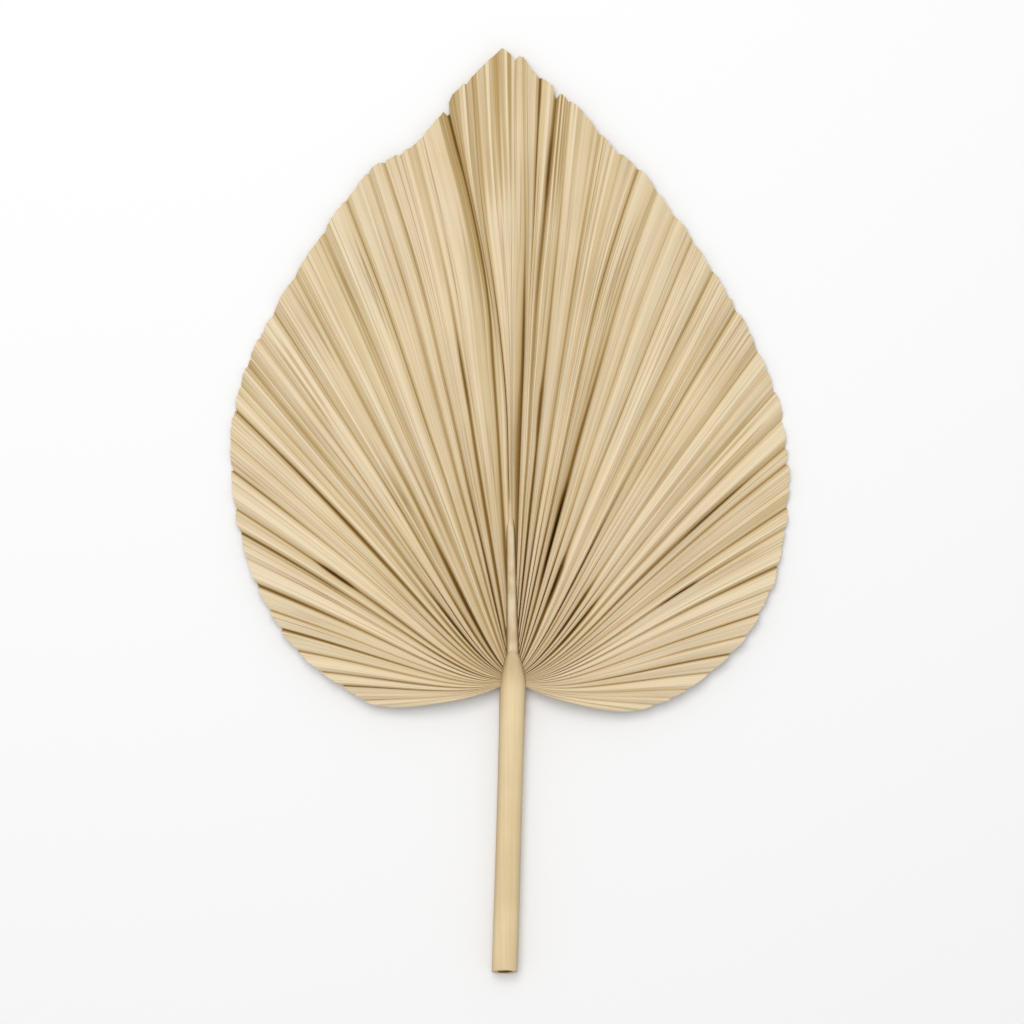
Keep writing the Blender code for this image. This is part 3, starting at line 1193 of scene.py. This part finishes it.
@dataclass(frozen=True)
class PithFinish:
    """The pith in the cut end of a dried petiole: brown, dull and full of pores, darkened
    as painted shade in its sunken recess.
    """

    name: str = "dried_palm_pith"
    # The pith's brown is partly painted shade of the sunken recess
    pith: str = "A88652"
    pore: str = "5E4624"
    roughness: float = 0.9
    gloss: float = 0.15
    pore_spacing: float = 0.9 * MM

    def material(self) -> bpy.types.Material:
        """Builds the material.

        Returns:
            The material, which reads object coordinates.
        """
        material, shader = new_material(self.name, self.roughness, self.gloss)
        tree = material.node_tree
        place = add_node(tree, "ShaderNodeTexCoord").outputs["Object"]
        pores = add_node(
            tree, "ShaderNodeTexVoronoi", {"Vector": place, "Scale": 1 / self.pore_spacing}
        ).outputs["Distance"]
        colour = coated(tree, linear(self.pore), (pores, WHOLE_RANGE, linear(self.pith)))
        tree.links.new(colour, shader.inputs["Base Color"])
        return material


@dataclass
class Stalk:
    """A tapering round stalk: the petiole with its pointed hastula, or the costa."""

    SHADE_AND_AGE = "shade_and_age"

    fan: Fan
    name: str
    stations: tuple[Station, ...]
    start_y: float
    finish: StalkFinish
    cut_end: bool = False
    sides: int = 48
    ring_spacing: float = 3.0  # millimetres
    fine_from: float = math.inf  # distance in millimetres after which the rings stand closer
    fine_spacing: float = 0.6
    sharp_angle: float = math.radians(40)

    # Faint lengthwise ridges, none where the stalk lies on the ground
    ridge_height: float = 0.10 * MM
    ridge_width: float = 2.6 * MM
    ridge_length: float = 55 * MM
    ridge_free: Range = (0.5 * MM, 2.5 * MM)

    cut_slant: float = math.radians(15)
    slant_reach: float = 12 * MM  # how far in the rings still lean with the cut
    rind: float = 2.7 * MM
    pith_depth: float = 1.3 * MM
    pith_unevenness: float = 0.14  # share by which the pith's edge strays from round
    pith_swell: float = 1.5 * MM

    flank: Range = (0.87, 0.0)  # shares of the half height from which down the rind is painted darker, as painted shade on its rounded flanks
    flank_shade: float = 0.5
    head: Range = (138, 152)  # distances in millimetres where the far end browns
    head_age: float = 0.3

    def distances(self) -> list[float]:
        """Spaces the rings along the stalk.

        Returns:
            Their distances in millimetres.
        """
        made = []
        distance = self.stations[0].distance
        while distance < self.stations[-1].distance:
            made.append(distance)
            distance += self.ring_spacing if distance < self.fine_from else self.fine_spacing
        return made + [self.stations[-1].distance]

    def ring_matrix(self, distance: float) -> Matrix:
        """Where a unit circle in the XZ plane goes, at a distance along the stalk.

        Args:
            distance: Millimetres from the first station's zero.

        Returns:
            The matrix that scales the circle and moves it there.
        """
        height, half_width, half_height = (
            smooth_through(tuple((s.distance, s[k]) for s in self.stations), distance)
            for k in (1, 2, 3)
        )
        y = self.start_y + distance * MM
        return Matrix.Translation((self.fan.stalk_x(y), y, height * MM)) @ Matrix.Diagonal(
            (half_width * MM, 1.0, half_height * MM, 1.0)
        )

    def build(self) -> bpy.types.Object:
        """Builds the stalk.

        Returns:
            The stalk as one closed body.
        """
        bm = bmesh.new()
        ring = bmesh.ops.create_circle(bm, segments=self.sides, radius=1.0)["verts"]
        distances = self.distances()
        last = self.ring_matrix(distances[0])
        upright = Matrix.Rotation(math.radians(90), 4, "X")
        bmesh.ops.transform(bm, matrix=last @ upright, verts=ring)
        first_ring = ring
        edges = bm.edges[:]
        for distance in distances[1:]:
            made = bmesh.ops.extrude_edge_only(bm, edges=edges)["geom"]
            ring = [item for item in made if isinstance(item, bmesh.types.BMVert)]
            edges = [item for item in made if isinstance(item, bmesh.types.BMEdge)]
            matrix = self.ring_matrix(distance)
            bmesh.ops.transform(bm, matrix=matrix @ last.inverted(), verts=ring)
            last = matrix
        bmesh.ops.contextual_create(bm, geom=edges)
        first_edges = [e for e in bm.edges if set(e.verts) <= set(first_ring)]
        cap = bmesh.ops.contextual_create(bm, geom=first_edges)["faces"][0]
        bmesh.ops.recalc_face_normals(bm, faces=bm.faces[:])
        self.mark_shade_and_age(bm)
        self.roughen(bm)
        if self.cut_end:
            self.open_cut(bm, cap)
        stalk = new_object(self.name, bm)
        stalk.data.shade_smooth()
        stalk.data.set_sharp_from_angle(angle=self.sharp_angle)
        stalk.data.materials.append(self.finish.material())
        if self.cut_end:
            stalk.data.materials.append(PithFinish().material())
        attach(stalk)
        return stalk

    def mark_shade_and_age(self, bm: bmesh.types.BMesh) -> None:
        """Notes for the finish where the rind is darker: painted shade down both sides, and browning
        at the far end.

        Args:
            bm: The closed stalk.
        """
        shade_and_age = bm.verts.layers.float.new(self.SHADE_AND_AGE)
        for vert in bm.verts:
            distance = (vert.co.y - self.start_y) / MM
            rise = (self.ring_matrix(distance).inverted() @ vert.co).z
            # Painted shade, darker down the rounded flanks
            vert[shade_and_age] = self.flank_shade * smooth_step(rise, *self.flank)
            vert[shade_and_age] += self.head_age * smooth_step(distance, *self.head)

    def roughen(self, bm: bmesh.types.BMesh) -> None:
        """Gives the round body faint lengthwise ridges, kept off its underside.

        Args:
            bm: The closed stalk.
        """
        for vert in bm.verts:
            x, y, z = vert.co
            across = x / self.ridge_width + y / self.ridge_length
            uneven = wander(Drift.RIND, across, z / self.ridge_width)
            free = smooth_step(z, *self.ridge_free)
            vert.co.z = max(0.0, z + self.ridge_height * uneven * free)

    def open_cut(self, bm: bmesh.types.BMesh, cap: bmesh.types.BMFace) -> None:
        """Slants the cut end so that it shows from above, and sinks the dried pith in it.

        Args:
            bm: The closed stalk.
            cap: The face that closes its cut end.
        """
        for vert in bm.verts:
            lean = 1 - smooth_step(vert.co.y - self.start_y, 0.0, self.slant_reach)
            vert.co.y += vert.co.z * math.tan(self.cut_slant) * lean
        bm.normal_update()
        bmesh.ops.inset_region(bm, faces=[cap], thickness=self.rind)
        middle = cap.calc_center_median()
        for vert in cap.verts:
            out = vert.co - middle
            uneven = wander(Drift.PITH_EDGE, out.x / self.pith_swell, out.z / self.pith_swell)
            vert.co = middle + out * (1 + self.pith_unevenness * uneven)
        pith = bmesh.ops.extrude_discrete_faces(bm, faces=[cap])["faces"][0]
        bmesh.ops.translate(bm, vec=(0, self.pith_depth, 0), verts=pith.verts[:])
        for face in {face for vert in pith.verts for face in vert.link_faces}:
            face.material_index = 1


@dataclass
class Studio:
    """A plain white table under soft light, seen from straight above."""

    floor_half: float = 3.0
    floor_colour: str = "FAFAFA"
    floor_roughness: float = 0.9  # matt paper
    floor_gloss: float = 0.1
    camera_height: float = 2.08
    lens: float = 150.0
    sensor: float = 36.0
    lamp_place: tuple[float, float, float] = (-0.24, 0.62, 1.9)
    lamp_size: float = 1.3
    lamp_watts: float = 21.0
    sky_colour: str = "FFFFFF"
    sky: float = 0.575

    def build(self) -> None:
        """Adds the floor, the lamp, the sky and the camera."""
        bpy.context.scene.view_settings.view_transform = "Standard"
        self.lay_floor()
        self.hang_lamp()
        self.light_sky()
        self.place_camera()

    def lay_floor(self) -> None:
        """Adds the white table."""
        bm = bmesh.new()
        bmesh.ops.create_grid(bm, x_segments=1, y_segments=1, size=self.floor_half)
        floor = new_object("floor", bm)
        paper, shader = new_material("white_paper", self.floor_roughness, self.floor_gloss)
        shader.inputs["Base Color"].default_value = linear(self.floor_colour)
        floor.data.materials.append(paper)

    def hang_lamp(self) -> None:
        """Adds a large soft lamp beyond the tip, a little to the left."""
        lamp = bpy.data.lights.new("soft_box", "AREA")
        lamp.size = self.lamp_size
        lamp.energy = self.lamp_watts
        holder = bpy.data.objects.new("soft_box", lamp)
        holder.location = self.lamp_place
        holder.rotation_euler = (-holder.location).to_track_quat("-Z", "Y").to_euler()
        bpy.context.scene.collection.objects.link(holder)

    def light_sky(self) -> None:
        """Lights the table evenly from all around."""
        world = bpy.data.worlds.new("white_room")
        world.use_nodes = True
        background = world.node_tree.nodes["Background"]
        background.inputs["Color"].default_value = linear(self.sky_colour)
        background.inputs["Strength"].default_value = self.sky
        bpy.context.scene.world = world

    def place_camera(self) -> None:
        """Adds the camera over the leaf, with +Y up in the picture."""
        camera_data = bpy.data.cameras.new("overhead")
        camera_data.lens = self.lens
        camera_data.sensor_width = self.sensor
        camera = bpy.data.objects.new("overhead", camera_data)
        camera.location = (0.0, 0.0, self.camera_height)
        bpy.context.scene.collection.objects.link(camera)
        bpy.context.scene.camera = camera


def petiole(fan: Fan) -> Stalk:
    """The petiole from its cut end to the pointed hastula over the roots of the folds.

    Args:
        fan: The leaf's plan.

    Returns:
        The petiole, ready to be built.
    """
    stations = (
        Station(0, 6.2, 6.3, 6.2), Station(25, 6.2, 6.3, 6.2), Station(75, 6.3, 6.1, 6.0),
        Station(115, 6.6, 6.2, 6.0), Station(138, 7.0, 6.4, 6.0), Station(145, 7.4, 5.9, 5.6),
        Station(151, 8.0, 4.6, 4.6), Station(155, 8.8, 3.3, 3.2), Station(158, 9.5, 1.7, 1.7),
        Station(160, 9.9, 0.5, 0.5),
    )
    return Stalk(
        fan, "palm_petiole", stations, -fan.leaf_length / 2, StalkFinish(), cut_end=True,
        fine_from=138,
    )


def costa(fan: Fan) -> Stalk:
    """The costa, the petiole's run on under the blade, whose crest ends in a point above it.

    Args:
        fan: The leaf's plan.

    Returns:
        The costa, ready to be built.
    """
    stations = (
        Station(-20, 5.6, 3.6, 3.2), Station(-4, 6.4, 3.8, 4.2), Station(15, 7.4, 3.2, 3.8),
        Station(50, 8.4, 2.5, 3.1), Station(71, 8.6, 2.2, 2.5), Station(80, 8.0, 1.7, 1.9),
        Station(88, 7.4, 1.4, 1.5), Station(125, 7.8, 1.1, 1.4), Station(160, 8.5, 0.6, 1.1),
    )
    finish = StalkFinish(
        name="sun_dried_palm_costa", pale="EBDBBB", tan="C4A97C", fibre_length=16 * MM,
        blotch_size=7 * MM,
    )
    # The costa's flanks are painted darker, as painted shade
    return Stalk(
        fan, "palm_costa", stations, fan.centre.y, finish, sides=32, flank=(0.92, 0.5),
        flank_shade=0.95, head_age=0.0,
    )


def main() -> None:
    """Builds the leaf in its place, then the studio round it."""
    logging.basicConfig(level=logging.INFO)
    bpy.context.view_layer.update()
    fan = Fan()
    for maker in (Blade(fan), petiole(fan), costa(fan)):
        made = maker.build()
        LOG.info("%s: %d faces", made.name, len(made.data.polygons))
    Studio().build()


if __name__ == "__main__":
    main()
